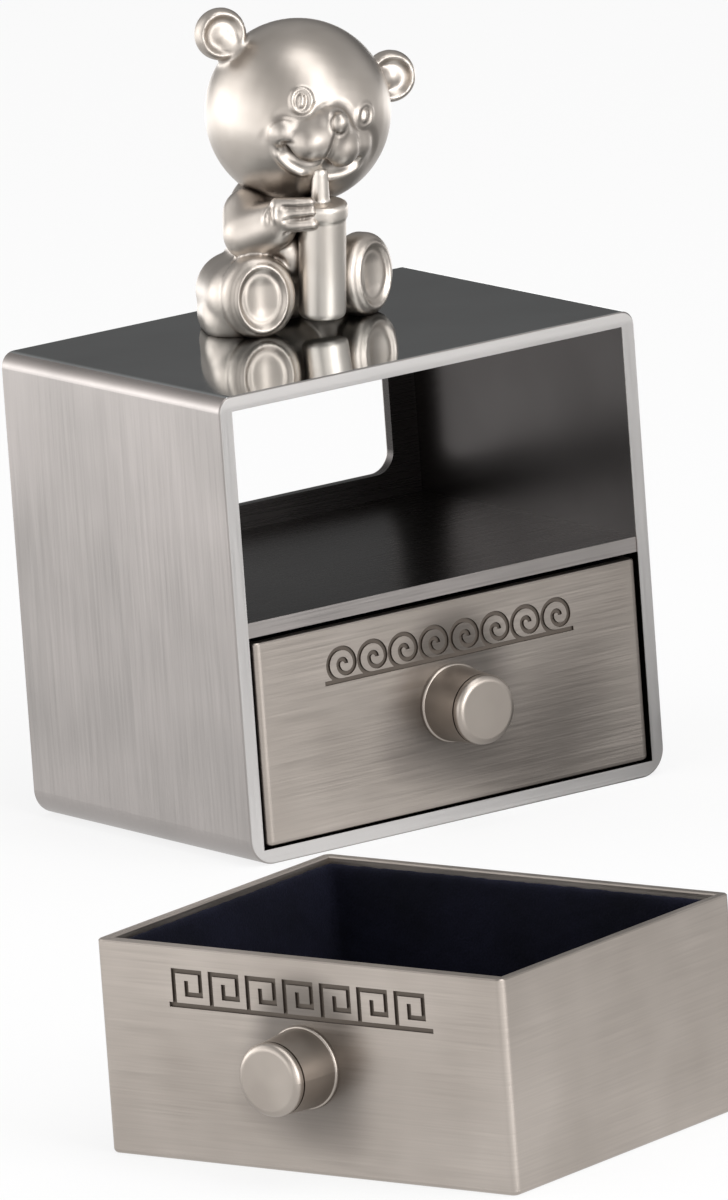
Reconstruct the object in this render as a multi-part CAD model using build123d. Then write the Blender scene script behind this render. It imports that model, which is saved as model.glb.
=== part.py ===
# Baby keepsake box in pewter-finished metal: an open-fronted cabinet with two bays, two drawers
# lined in velvet, and a seated teddy bear with a bottle on the top plate. The curl drawer is
# pushed home in the lower bay. The tooth drawer is out of the upper bay and stands by itself.
# Millimetres, +Z up, -Y is the cabinet's front. The origin is the middle of the cabinet's base.
import os
from math import asin, cos, degrees, radians, sin, sqrt

from build123d import *

# Cabinet: a sleeve open at front and back, a shelf across it and a plate let into its back
cabinet_width = 60.0
cabinet_depth = 44.0
cabinet_wall = 1.8
bay_height = 25.2
shelf_thickness = 1.8
back_thickness = 1.3
top_edge_radius = 1.8
base_edge_radius = 3.2
rim_break = 0.2
window_side_margin = 3.8
window_end_margin = 3.0
window_corner_radius = 2.6

# Drawers: both are the same tray, and these are their running clearances in a bay
drawer_side_clearance = 0.5
drawer_top_clearance = 0.7
drawer_floor_clearance = 0.3
drawer_back_clearance = 0.3
drawer_front_proud = 0.2
tray_front_wall = 1.6
tray_wall = 1.2
tray_floor = 1.2
tray_corner_radius = 0.9
tray_base_radius = 0.5
tray_rim_break = 0.15

# Velvet on card that lines each drawer
lining_thickness = 1.2
lining_below_rim = 0.4
lining_corner_radius = 0.5

# Knob: a turned boss on a thin collar, held by a screw from inside the drawer
collar_diameter = 9.4
collar_thickness = 0.5
knob_base_diameter = 9.0
knob_front_diameter = 8.3
knob_length = 6.3
knob_edge_radius = 0.8
knob_groove_width = 0.25
knob_groove_depth = 0.25
knob_groove_setback = 1.1
knob_screw_diameter = 2.5
knob_screw_reach = 4.0
knob_screw_head_diameter = 4.6
knob_screw_head_height = 0.8
screw_hole_clearance = 0.1
thread_clearance = 0.03
screw_pocket_clearance = 0.1
drive_slot_width = 0.6
drive_slot_depth = 0.4

# Engraved bands on the drawer fronts, in the place of the lettering
band_width = 36.0
band_height = 4.4
band_below_top = 2.4
band_stroke = 0.55
band_depth = 0.3
key_count = 7
curl_count = 8

# Where the tooth drawer stands, by the middle of its front's lower edge
tooth_drawer_x = -112.8
tooth_drawer_y = -148.0
tooth_drawer_turn = -72.7

# Bear: where it sits on the top plate, and its body, head, limbs and bottle
bear_x = 1.7
bear_sink = 0.25
body_height = 17.0
body_centre_y = 9.6
body_lean = 9.0
body_base_radius = 6.2
body_hip_radius = 7.1
body_chest_radius = 5.7
body_neck_radius = 3.6
head_radius = 10.9
head_side = 3.0
head_y = 7.2
head_z = 24.9
head_turn = 12.0
head_tilt = 21.0
ear_radius = 3.4
ear_thickness = 3.2
ear_edge_radius = 1.4
ear_dish_radius = 1.9
ear_dish_depth = 0.6
ear_side = 11.3
ear_up = 6.6
ear_back = 0.9
face_turn = 15.0
face_tilt = 17.0
muzzle_width = 5.0
muzzle_height = 3.7
muzzle_reach = 4.4
muzzle_forward = 8.2
muzzle_drop = 1.9
cheek_radius = 2.2
cheek_side = 5.3
cheek_forward = 8.1
cheek_drop = 2.2
bridge_radius = 1.4
bridge_forward = 10.0
bridge_up = 2.0
nose_radius = 1.1
nose_forward = 12.6
nose_up = 0.9
eye_radius = 1.2
eye_ring_radius = 0.28
eye_side = 3.9
eye_up = 2.3
leg_hip_radius = 4.2
leg_ankle_radius = 3.9
hip_side = 5.4
hip_y = 10.9
hip_z = 4.1
ankle_side = 7.4
ankle_y = 6.4
ankle_z = 4.5
foot_width = 8.2
foot_height = 9.7
foot_thickness = 4.0
foot_edge_radius = 1.5
foot_turn = 18.0
foot_side = 8.3
foot_front_y = 2.0
sole_pad_inset = 1.2
sole_pad_groove = 0.5
sole_pad_depth = 0.3
near_arm_radius = 2.8
near_hand_radius = 2.1
near_shoulder = (-5.0, 7.2, 13.8)
near_elbow = (-7.8, 4.6, 12.3)
near_hand = (-3.3, 0.4, 14.0)
far_arm_radius = 2.3
far_hand_radius = 1.9
far_shoulder = (4.2, 8.8, 14.0)
far_elbow = (4.6, 8.7, 10.6)
far_hand = (2.1, 4.1, 12.4)
bottle_diameter = 5.6
bottle_length = 12.1
bottle_lean = 7.0
bottle_y = 1.0
bottle_z = 1.35
bottle_cap_diameter = 6.1
bottle_cap_length = 2.0
bottle_edge_radius = 0.6
teat_diameter = 2.0
teat_length = 4.2
solder_gap = 0.03

# Countersunk screws up through the top plate into the bear
bear_screw_diameter = 2.5
bear_screw_reach = 5.0
bear_screw_head_diameter = 4.4
bear_screw_spacing = 6.4
bear_screw_y = 9.6

# Sizes that follow from the ones above
overrun = 1.0
overlap = 0.05
inner_width = cabinet_width - 2 * cabinet_wall
shelf_bottom = cabinet_wall + bay_height
shelf_top = shelf_bottom + shelf_thickness
cabinet_height = shelf_top + bay_height + cabinet_wall
front_y = -cabinet_depth / 2
back_y = cabinet_depth / 2
inner_back_y = back_y - back_thickness
drawer_width = inner_width - 2 * drawer_side_clearance
drawer_height = bay_height - drawer_top_clearance - drawer_floor_clearance
drawer_depth = cabinet_depth - back_thickness - drawer_back_clearance + drawer_front_proud
tray_inner_width = drawer_width - 2 * tray_wall
tray_inner_depth = drawer_depth - tray_front_wall - tray_wall
tray_inner_height = drawer_height - tray_floor
knob_z = drawer_height / 2


def block(x_span, y_span, z_span):
    """A box from its three (low, high) spans."""
    size = [high - low for low, high in (x_span, y_span, z_span)]
    centre = [(high + low) / 2 for low, high in (x_span, y_span, z_span)]
    return Pos(*centre) * Box(*size)


def turned(points_and_arcs):
    """A solid turned about Z from an outline in the XZ plane."""
    return revolve(make_face(points_and_arcs), Axis.Z)


def limb(start, end, start_radius, end_radius):
    """Two round ends joined by the cone that is tangent to both."""
    start, end = Vector(*start), Vector(*end)
    length = (end - start).length
    slope = asin((start_radius - end_radius) / length)
    foot = (start_radius * cos(slope), start_radius * sin(slope))
    top = (end_radius * cos(slope), length + end_radius * sin(slope))
    half_low, half_high = (slope - radians(90)) / 2, (slope + radians(90)) / 2
    low_mid = (start_radius * cos(half_low), start_radius * sin(half_low))
    high_mid = (end_radius * cos(half_high), length + end_radius * sin(half_high))
    low_arc = ThreePointArc((0, -start_radius), low_mid, foot)
    high_arc = ThreePointArc(top, high_mid, (0, length + end_radius))
    side = Line(foot, top)
    axis = Line((0, length + end_radius), (0, -start_radius))
    solid = turned(Plane.XZ * (low_arc + side + high_arc + axis))
    return Plane(origin=start, z_dir=end - start).location * solid


def rounded_disc(radius, thickness, edge_radius):
    """A disc about Y with its front face at y=0 and both rims rounded."""
    disc = Rot(90, 0, 0) * Cylinder(radius, thickness)
    disc = Pos(0, thickness / 2, 0) * disc
    return fillet(disc.edges().filter_by(GeomType.CIRCLE), edge_radius)


# Cabinet pieces


def make_cabinet_shell():
    outside = block((-cabinet_width / 2, cabinet_width / 2), (front_y, back_y), (0, cabinet_height))
    long_edges = outside.edges().filter_by(Axis.Y)
    base_edges = long_edges.group_by(Axis.Z)[0]
    outside = fillet(base_edges, base_edge_radius)
    top_edges = outside.edges().filter_by(Axis.Y).group_by(Axis.Z)[-1]
    outside = fillet(top_edges, top_edge_radius)
    ends = outside.faces().filter_by(Axis.Y)
    outside = chamfer(ends.edges(), rim_break)
    hollow = block((-inner_width / 2, inner_width / 2), (front_y - overrun, back_y + overrun),
                   (cabinet_wall, cabinet_height - cabinet_wall))
    shell = outside - hollow
    for x in bear_screw_places():
        shell -= Pos(x, bear_screw_y, 0) * bear_screw_hole()
    return shell


def make_cabinet_shelf():
    return block((-inner_width / 2, inner_width / 2), (front_y + rim_break, inner_back_y),
                 (shelf_bottom, shelf_top))


def make_back_panel():
    panel = block((-inner_width / 2, inner_width / 2), (inner_back_y, back_y),
                  (cabinet_wall, cabinet_height - cabinet_wall))
    for bay_bottom in (cabinet_wall, shelf_top):
        window = block((-inner_width / 2 + window_side_margin, inner_width / 2 - window_side_margin),
                       (inner_back_y - overrun, back_y + overrun),
                       (bay_bottom + window_end_margin, bay_bottom + bay_height - window_end_margin))
        panel -= fillet(window.edges().filter_by(Axis.Y), window_corner_radius)
    return panel


# Drawer pieces, each in the drawer's own frame: front face at y=0, bottom at z=0


def make_tray():
    tray = block((-drawer_width / 2, drawer_width / 2), (0, drawer_depth), (0, drawer_height))
    tray = fillet(tray.edges().filter_by(Axis.Z), tray_corner_radius)
    tray = fillet(tray.faces().sort_by(Axis.Z)[0].edges(), tray_base_radius)
    tray -= block((-tray_inner_width / 2, tray_inner_width / 2),
                  (tray_front_wall, tray_front_wall + tray_inner_depth),
                  (tray_floor, drawer_height + overrun))
    tray = chamfer(tray.faces().sort_by(Axis.Z)[-1].edges(), tray_rim_break)
    hole_radius = knob_screw_diameter / 2 + screw_hole_clearance
    tray -= Pos(0, tray_front_wall / 2, knob_z) * Rot(90, 0, 0) * Cylinder(hole_radius, 2 * tray_front_wall)
    return tray


def engrave(tray, band):
    """Cuts a flat pattern, drawn from (0, 0) at its lower left, into the tray's front."""
    low_left = (-band_width / 2, band_depth, drawer_height - band_below_top - band_height)
    cutter = extrude(Plane(origin=low_left, x_dir=(1, 0, 0), z_dir=(0, -1, 0)) * band, band_depth + overrun)
    return tray - cutter


def stroke(start, end):
    """One straight stroke of a band, with square ends that overlap its neighbours."""
    width = abs(end[0] - start[0]) + band_stroke
    height = abs(end[1] - start[1]) + band_stroke
    return Pos((start[0] + end[0]) / 2, (start[1] + end[1]) / 2) * Rectangle(width, height)


# A square key that rises from the base line and turns in, as shares of its pitch and height
key_shares = ((0.1, 0), (0.1, 1), (0.82, 1), (0.82, 0.34), (0.44, 0.34), (0.44, 0.66))


def key_band():
    pitch = (band_width - band_stroke) / key_count
    height = band_height - band_stroke
    base = band_stroke / 2
    band = stroke((base, base), (band_width - base, base))
    for unit in range(key_count):
        corners = [(base + (unit + x) * pitch, base + z * height) for x, z in key_shares]
        for start, end in zip(corners, corners[1:]):
            band += stroke(start, end)
    return band


# A wave curl: radii of its three arcs as shares of the outer one
curl_shares = (1.0, 0.62, 0.3)


def half_ring(radius, side):
    """Half of a ring, above its centre for side +1 and below it for side -1."""
    ring = Circle(radius + band_stroke / 2) - Circle(radius - band_stroke / 2)
    reach = 2 * (radius + band_stroke)
    return ring & (Pos(0, side * reach / 2) * Rectangle(reach, reach))


def curl_band():
    pitch = (band_width - band_stroke) / curl_count
    outer = (band_height - band_stroke) / 2
    base = band_stroke / 2
    radii = [share * outer for share in curl_shares]
    band = stroke((base, base), (band_width - base, base))
    middle_z = base + outer
    for unit in range(curl_count):
        middle = base + (unit + 0.5) * pitch
        curl = half_ring(radii[0], 1)
        ramp = half_ring(radii[0], -1)
        reach = 2 * outer
        curl += ramp & (Pos(-reach / 2, 0) * Rectangle(reach, 2 * reach))
        curl += Pos(radii[0] - radii[1], 0) * half_ring(radii[1], -1)
        curl += Pos(radii[0] - 2 * radii[1] + radii[2], 0) * half_ring(radii[2], 1)
        band += Pos(middle, middle_z) * curl
    return band


def make_floor_lining():
    return block((-tray_inner_width / 2, tray_inner_width / 2),
                 (tray_front_wall, tray_front_wall + tray_inner_depth),
                 (tray_floor, tray_floor + lining_thickness))


def make_wall_lining():
    bottom, top = tray_floor + lining_thickness, drawer_height - lining_below_rim
    lining = block((-tray_inner_width / 2, tray_inner_width / 2),
                   (tray_front_wall, tray_front_wall + tray_inner_depth), (bottom, top))
    hollow = block((-tray_inner_width / 2 + lining_thickness, tray_inner_width / 2 - lining_thickness),
                   (tray_front_wall + lining_thickness, tray_front_wall + tray_inner_depth - lining_thickness),
                   (bottom - overrun, top + overrun))
    lining -= fillet(hollow.edges().filter_by(Axis.Z), lining_corner_radius)
    pocket_radius = knob_screw_head_diameter / 2 + screw_pocket_clearance
    pocket_depth = knob_screw_head_height + screw_pocket_clearance
    lining -= Pos(0, tray_front_wall + pocket_depth / 2, knob_z) * Rot(90, 0, 0) * Cylinder(
        pocket_radius, pocket_depth)
    return lining


def make_knob_collar():
    """A thin ring between the knob and the drawer's front."""
    ring = Cylinder(collar_diameter / 2, collar_thickness)
    ring = fillet(ring.edges().sort_by(Axis.Z)[-1], collar_thickness * 0.6)
    ring -= Cylinder(knob_screw_diameter / 2 + screw_hole_clearance, 2 * collar_thickness)
    return Pos(0, -collar_thickness / 2, knob_z) * Rot(90, 0, 0) * ring


def make_knob():
    """Turned about Z with its base at z=0, then laid along the drawer's front normal."""
    base, front = knob_base_diameter / 2, knob_front_diameter / 2
    groove_front = knob_length - knob_groove_setback
    groove_back = groove_front - knob_groove_width
    corner = knob_length - knob_edge_radius
    bend = knob_edge_radius * sin(radians(45))
    neck = front - knob_groove_depth
    outline = [
        Line((0, 0), (base, 0)),
        Line((base, 0), (front, groove_back)),
        Line((front, groove_back), (neck, groove_back)),
        Line((neck, groove_back), (neck, groove_front)),
        Line((neck, groove_front), (front, groove_front)),
        Line((front, groove_front), (front, corner)),
        ThreePointArc((front, corner), (front - knob_edge_radius + bend, corner + bend),
                      (front - knob_edge_radius, knob_length)),
        Line((front - knob_edge_radius, knob_length), (0, knob_length)),
        Line((0, knob_length), (0, 0)),
    ]
    knob = turned([Plane.XZ * edge for edge in outline])
    bore_depth = knob_screw_reach + screw_pocket_clearance
    knob -= Pos(0, 0, bore_depth / 2) * Cylinder(knob_screw_diameter / 2 + thread_clearance, bore_depth)
    return Pos(0, -collar_thickness, knob_z) * Rot(90, 0, 0) * knob


def drive_slot(reach, height):
    """The cross-shaped slot in a screw's head, centred on Z and cut down to the given height."""
    bar = Box(reach, drive_slot_width, 2 * drive_slot_depth)
    return Pos(0, 0, height) * (bar + Rot(0, 0, 90) * bar)


def make_knob_screw():
    """Its head lies on the inside of the tray's front wall."""
    length = tray_front_wall + collar_thickness + knob_screw_reach
    head = Cylinder(knob_screw_head_diameter / 2, knob_screw_head_height)
    head = Pos(0, 0, knob_screw_head_height / 2) * head
    head = fillet(head.edges().sort_by(Axis.Z)[-1], knob_screw_head_height / 2)
    screw = head + Pos(0, 0, -length / 2) * Cylinder(knob_screw_diameter / 2, length)
    screw -= drive_slot(knob_screw_head_diameter * 0.6, knob_screw_head_height)
    return Pos(0, tray_front_wall, knob_z) * Rot(-90, 0, 0) * screw


# Bear pieces, in a frame on the top plate under the bear


def head_place(turn, tilt):
    """Where a shape goes that is made about the head's centre and faces -Y."""
    return Pos(head_side, head_y, head_z) * Rot(0, 0, -turn) * Rot(0, tilt, 0)


def make_ear(side):
    ear = rounded_disc(ear_radius, ear_thickness, ear_edge_radius)
    dish = (ear_dish_radius ** 2 + ear_dish_depth ** 2) / (2 * ear_dish_depth)
    ear -= Pos(0, ear_dish_depth - dish, 0) * Sphere(dish)
    turn = degrees(asin(ear_back / ear_side))
    return Pos(side * ear_side, ear_back - ear_thickness / 2, ear_up) * Rot(0, 0, -side * turn) * ear


def face_features():
    """Muzzle, nose on its bridge, smiling cheeks, and a raised ring round each eye."""
    muzzle = scale(Sphere(1), by=(muzzle_width, muzzle_reach, muzzle_height))
    nose = limb((0, -bridge_forward, bridge_up), (0, -nose_forward, nose_up), bridge_radius, nose_radius)
    features = [Pos(0, -muzzle_forward, -muzzle_drop) * muzzle, nose]
    depth = sqrt(head_radius ** 2 - eye_side ** 2 - eye_up ** 2)
    for side in (-1, 1):
        aim = Plane(origin=(side * eye_side, -depth, eye_up), z_dir=(side * eye_side, -depth, eye_up))
        features.append(aim.location * Torus(eye_radius, eye_ring_radius))
        features.append(Pos(side * cheek_side, -cheek_forward, -cheek_drop) * Sphere(cheek_radius))
    return features


def make_head():
    head = Pos(head_side, head_y, head_z) * Sphere(head_radius)
    for side in (-1, 1):
        head += head_place(head_turn, head_tilt) * make_ear(side)
    for feature in face_features():
        head += head_place(face_turn, face_tilt) * feature
    return head


def make_body():
    shares = ((body_base_radius, 0.0), (body_hip_radius, 0.28), (body_chest_radius, 0.68))
    points = [(radius, share * body_height) for radius, share in shares]
    flank = Spline(points + [(body_neck_radius, body_height)])
    outline = [flank, Line(flank @ 1, (0, body_height)), Line((0, body_height), (0, 0)), Line((0, 0), flank @ 0)]
    body = turned([Plane.XZ * edge for edge in outline])
    return Pos(0, body_centre_y, 0) * Rot(body_lean, 0, 0) * body


def sole_oval(inset):
    """The sole's oval, drawn smaller by the inset."""
    return Ellipse(foot_width / 2 - inset, foot_height / 2 - inset)


def make_foot():
    """A thick oval about Y with its sole at y=0 and an oval groove in the sole."""
    foot = extrude(sole_oval(0), foot_thickness)
    foot = fillet(foot.edges(), foot_edge_radius)
    groove = sole_oval(sole_pad_inset) - sole_oval(sole_pad_inset + sole_pad_groove)
    foot -= Pos(0, 0, foot_thickness - sole_pad_depth) * extrude(groove, 2 * sole_pad_depth)
    return Pos(0, foot_thickness, 0) * Rot(90, 0, 0) * foot


def make_leg(side):
    leg = limb((side * hip_side, hip_y, hip_z), (side * ankle_side, ankle_y, ankle_z),
               leg_hip_radius, leg_ankle_radius)
    at_sole = Pos(side * foot_side, foot_front_y, foot_height / 2) * Rot(0, 0, side * foot_turn)
    return leg + at_sole * make_foot()


def make_arm(shoulder, elbow, hand, arm_radius, hand_radius):
    """An upper arm and a forearm. The two arms differ: the near one holds the bottle."""
    upper_arm = limb(shoulder, elbow, arm_radius, arm_radius - overlap)
    return upper_arm + limb(elbow, hand, arm_radius, hand_radius)


def bottle_frame(shape):
    return Pos(0, bottle_y, bottle_z) * Rot(bottle_lean, 0, 0) * shape


def make_bottle(gap=0.0):
    """The feeding bottle with its cap and teat, or the room it takes when gap is given."""
    radius = bottle_diameter / 2 + gap
    barrel = Pos(0, 0, bottle_length / 2) * Cylinder(radius, bottle_length + 2 * gap)
    barrel = fillet(barrel.edges().sort_by(Axis.Z)[0], bottle_edge_radius)
    cap_radius = bottle_cap_diameter / 2 + gap
    cap = Pos(0, 0, bottle_length + bottle_cap_length / 2) * Cylinder(cap_radius, bottle_cap_length + 2 * gap)
    cap = fillet(cap.edges().sort_by(Axis.Z)[-1], bottle_edge_radius)
    tip = (0, 0, bottle_length + bottle_cap_length + teat_length)
    teat = limb((0, 0, bottle_length), tip, teat_diameter / 2 + gap, teat_diameter * 0.4 + gap)
    return bottle_frame(barrel + cap + teat)


def make_bear_figure():
    bear = make_body() + make_head() + make_leg(-1) + make_leg(1)
    bear += make_arm(near_shoulder, near_elbow, near_hand, near_arm_radius, near_hand_radius)
    bear += make_arm(far_shoulder, far_elbow, far_hand, far_arm_radius, far_hand_radius)
    bear = Pos(0, 0, -bear_sink) * bear
    below = 2 * head_radius
    bear -= block((-below, below), (-below, 2 * below), (-below, 0))
    bear -= make_bottle(solder_gap)
    bore = bear_screw_diameter / 2 + thread_clearance
    bore_depth = bear_screw_reach + screw_pocket_clearance
    for side in (-1, 1):
        bear -= Pos(side * bear_screw_spacing / 2, bear_screw_y, bore_depth / 2) * Cylinder(bore, bore_depth)
    return bear


def bear_screw_places():
    return [bear_x + side * bear_screw_spacing / 2 for side in (-1, 1)]


def bear_screw_hole():
    """A countersunk hole down through the top plate, on the Z axis."""
    hole = bear_screw_diameter / 2 + screw_hole_clearance
    head = bear_screw_head_diameter / 2 + screw_hole_clearance
    ceiling = cabinet_height - cabinet_wall
    cone = Pos(0, 0, ceiling + (head - hole) / 2) * Cone(head, hole, head - hole)
    return cone + Pos(0, 0, cabinet_height - cabinet_wall / 2) * Cylinder(hole, 2 * cabinet_wall)


def make_bear_screw():
    """Its head lies flush in the ceiling of the upper bay."""
    radius, head = bear_screw_diameter / 2, bear_screw_head_diameter / 2
    length = cabinet_wall + bear_screw_reach
    screw = Pos(0, 0, length / 2) * Cylinder(radius, length)
    screw += Pos(0, 0, (head - radius) / 2) * Cone(head, radius, head - radius)
    screw -= drive_slot(bear_screw_head_diameter * 0.6, 0)
    return Pos(0, 0, cabinet_height - cabinet_wall) * screw


def drawer_pieces(band):
    """Every piece of one drawer, in the drawer's own frame, by the end of its name."""
    return {
        "tray": engrave(make_tray(), band),
        "floor_lining": make_floor_lining(),
        "wall_lining": make_wall_lining(),
        "knob_collar": make_knob_collar(),
        "knob": make_knob(),
        "knob_screw": make_knob_screw(),
    }


def make_parts():
    on_plate = Pos(bear_x, 0, cabinet_height)
    screws = [Pos(x, bear_screw_y, 0) * make_bear_screw() for x in bear_screw_places()]
    parts = {
        "cabinet_shell": make_cabinet_shell(),
        "cabinet_shelf": make_cabinet_shelf(),
        "back_panel": make_back_panel(),
        "bear_figure": on_plate * make_bear_figure(),
        "bear_bottle": on_plate * make_bottle(),
        "bear_screws": Compound(children=screws),
    }
    home = Pos(0, front_y - drawer_front_proud, cabinet_wall + drawer_floor_clearance)
    aside = Pos(tooth_drawer_x, tooth_drawer_y, 0) * Rot(0, 0, tooth_drawer_turn)
    for name, place, band in (("curl_drawer", home, curl_band()), ("tooth_drawer", aside, key_band())):
        for piece, shape in drawer_pieces(band).items():
            parts[f"{name}_{piece}"] = place * shape
    return parts


def main():
    os.makedirs("parts", exist_ok=True)
    for node, shape in make_parts().items():
        export_step(shape, f"parts/{node}.step")
        box = shape.bounding_box()
        print(node, len(shape.solids()), round(shape.volume, 1),
              [round(v, 2) for v in (*box.min, *box.max)])


main()
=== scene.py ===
from math import cos, pi, radians, sin

import bmesh
import bpy
from mathutils import Matrix, Vector, noise
from mathutils.bvhtree import BVHTree
from mathutils.kdtree import KDTree


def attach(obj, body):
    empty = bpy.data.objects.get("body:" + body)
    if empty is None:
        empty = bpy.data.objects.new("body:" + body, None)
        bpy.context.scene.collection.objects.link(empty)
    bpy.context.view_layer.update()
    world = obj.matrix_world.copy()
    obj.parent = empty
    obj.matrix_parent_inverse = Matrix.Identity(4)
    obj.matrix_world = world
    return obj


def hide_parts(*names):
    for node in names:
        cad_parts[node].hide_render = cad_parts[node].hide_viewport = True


# Baby keepsake box in pewter: looks, light and camera around the CAD frame

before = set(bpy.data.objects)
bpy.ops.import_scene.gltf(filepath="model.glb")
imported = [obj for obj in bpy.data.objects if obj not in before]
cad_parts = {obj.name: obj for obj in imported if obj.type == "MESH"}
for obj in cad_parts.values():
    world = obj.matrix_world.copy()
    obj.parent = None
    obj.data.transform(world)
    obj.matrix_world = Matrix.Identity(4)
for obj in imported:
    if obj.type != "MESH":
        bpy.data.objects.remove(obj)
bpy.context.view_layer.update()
print("frame loaded:", len(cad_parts), "nodes")

mm = 0.001  # every length below is in millimetres times this
scene = bpy.context.scene
scene.view_settings.view_transform = "Standard"

# Places shared by several pieces
cabinet = {"halfWidth": 30 * mm, "halfDepth": 22 * mm, "height": 55.8 * mm, "wall": 1.8 * mm}
drawers = {
    "curl_drawer": {"front": Vector((0, -22.2, 2.1)) * mm, "turn": 0.0},
    "tooth_drawer": {"front": Vector((-112.8, -148.0, 0)) * mm, "turn": radians(-72.7)},
}
tray = {
    "width": 55.4 * mm, "height": 24.2 * mm,
    "bandHeight": 4.4 * mm, "bandBelowTop": 2.4 * mm, "bandDepth": 0.3 * mm,
}


def drawerPlace(name):  # from the drawer's own frame, front face at y = 0, to the row frame
    place = drawers[name]
    return Matrix.Translation(place["front"]) @ Matrix.Rotation(place["turn"], 4, "Z")


# Camera, at the photograph's viewing angle
photoView = {
    "distance": 2500 * mm, "azimuth": radians(-35.19), "elevation": radians(12.26), "roll": radians(-4.16),
    "sideways": -9.41 * mm, "upwards": 26.52 * mm, "origin": Vector((0, -22, 0)) * mm,
    "focalPixels": 21392.5, "imageHeightPixels": 1200, "filmHeight": 24.0,
}


def makeCamera(view):
    camera = bpy.data.cameras.new("photoCamera")
    camera.sensor_fit = "VERTICAL"
    camera.sensor_height = view["filmHeight"]
    camera.lens = view["focalPixels"] / view["imageHeightPixels"] * view["filmHeight"]
    camera.clip_start, camera.clip_end = 0.05, 50
    level = Matrix.Rotation(view["azimuth"], 4, "Z") @ Matrix.Rotation(pi / 2 - view["elevation"], 4, "X")
    right, up, back = (level.to_3x3().col[axis] for axis in range(3))
    eye = view["origin"] + back * view["distance"] + right * view["sideways"] + up * view["upwards"]
    cameraObject = bpy.data.objects.new("photoCamera", camera)
    cameraObject.matrix_world = Matrix.Translation(eye) @ level @ Matrix.Rotation(view["roll"], 4, "Z")
    scene.collection.objects.link(cameraObject)
    scene.camera = cameraObject


makeCamera(photoView)
print("camera placed")

# Shader helpers


def linear(hexColour):  # sRGB hex to a linear colour
    parts = [int(hexColour[index:index + 2], 16) / 255 for index in (1, 3, 5)]
    return [part / 12.92 if part <= 0.04045 else ((part + 0.055) / 1.055) ** 2.4 for part in parts] + [1.0]


def addNode(tree, kind, inputs=None, **settings):  # a node with its settings, values and links
    node = tree.nodes.new(kind)
    for name, value in settings.items():
        setattr(node, name, value)
    for socket, value in (inputs or {}).items():
        if isinstance(value, bpy.types.NodeSocket):
            tree.links.new(value, node.inputs[socket])
        else:
            node.inputs[socket].default_value = value
    return node


def newMaterial(name, **constants):  # a material with its shader, and the Object coordinates
    material = bpy.data.materials.new(name)
    material.use_nodes = True
    tree = material.node_tree
    shader = tree.nodes["Principled BSDF"]
    for socket, value in constants.items():
        shader.inputs[socket.replace("_", " ")].default_value = value
    return material, tree, shader, addNode(tree, "ShaderNodeTexCoord").outputs["Object"]


def boxMask(tree, point, low, high):  # 1 inside the box, 0 outside
    centre = [(a + b) / 2 for a, b in zip(low, high)]
    half = [abs(b - a) / 2 for a, b in zip(low, high)]
    offset = addNode(tree, "ShaderNodeVectorMath", {0: point, 1: centre}, operation="SUBTRACT")
    spread = addNode(tree, "ShaderNodeVectorMath", {0: offset.outputs[0]}, operation="ABSOLUTE")
    past = addNode(tree, "ShaderNodeVectorMath", {0: spread.outputs[0], 1: half}, operation="SUBTRACT")
    axes = addNode(tree, "ShaderNodeSeparateXYZ", {0: past.outputs[0]})
    worst = addNode(tree, "ShaderNodeMath", {0: axes.outputs[0], 1: axes.outputs[1]}, operation="MAXIMUM")
    worst = addNode(tree, "ShaderNodeMath", {0: worst.outputs[0], 1: axes.outputs[2]}, operation="MAXIMUM")
    return addNode(tree, "ShaderNodeMath", {0: worst.outputs[0], 1: 0.0}, operation="LESS_THAN").outputs[0]


noiseLow, noiseHigh = 0.3, 0.7  # nearly every value of a noise texture lies between these

# Brushed metal: fine scratches a fifth of a millimetre apart and many millimetres long
brush = {
    "scratchPitch": 0.22 * mm, "scratchLength": 14 * mm, "cloud": 16 * mm,
    "streakLow": 0.35, "streakHigh": 0.65, "streakDull": 0.95, "streakBright": 1.03,
    "smoother": 0.05, "coarser": 0.08,
    "bumpHeight": 0.02 * mm, "sheetBump": 0.12, "polishedBump": 0.008, "plateBump": 0.01,
}


def scratches(tree, point, fineAxes):  # noise that is fine along the given axes and drawn out along the rest
    scale = [1 / brush["scratchPitch"] if axis in fineAxes else 1 / brush["scratchLength"] for axis in "XYZ"]
    stretched = addNode(tree, "ShaderNodeMapping", {"Vector": point, "Scale": scale})
    return addNode(tree, "ShaderNodeTexNoise", {"Vector": stretched.outputs[0], "Scale": 1.0, "Detail": 3.0,
                                                "Roughness": 0.6}).outputs[0]


def clouds(tree, point, size):  # soft patches, from 0 to 1
    patches = addNode(tree, "ShaderNodeTexNoise", {"Vector": point, "Scale": 1 / size, "Detail": 2.0})
    return addNode(tree, "ShaderNodeMapRange", {0: patches.outputs[0], 1: noiseLow, 2: noiseHigh}).outputs[0]


# The colours of the metal, how the light spreads on each finish, and how far in each finish ends
pewterFinish = {
    "sheet": "#b0aaa7", "sheetDull": "#a39e9b", "sheetRoughness": 0.34,
    "front": "#bfb6ae", "frontDull": "#aca39b",
    # the dark colours are painted shade for the insides of the bays
    "dark": "#524f4e", "darkDull": "#464342", "darkRoughness": 0.25, "darkSmear": 0.06,
    "polished": "#b5b7b7", "polishedDull": "#a6a8a8", "polishedRoughness": 0.06, "polishedSmear": 0.03,
    "rim": "#cfccca", "skin": 0.05 * mm, "rimDepth": 0.15 * mm, "topDepth": 0.12 * mm,
    "edgeShade": "#e2e0df", "edgeRoughness": 0.14, "edgeStart": 1.7 * mm, "edgeFull": 0.7 * mm,
    "shelfRim": 0.3 * mm, "panelRim": 0.1 * mm,
    "engraved": "#6d655e", "engravedRoughness": 0.6, "engravedSkin": 0.06 * mm, "engravedMargin": 1 * mm,
}


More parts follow.
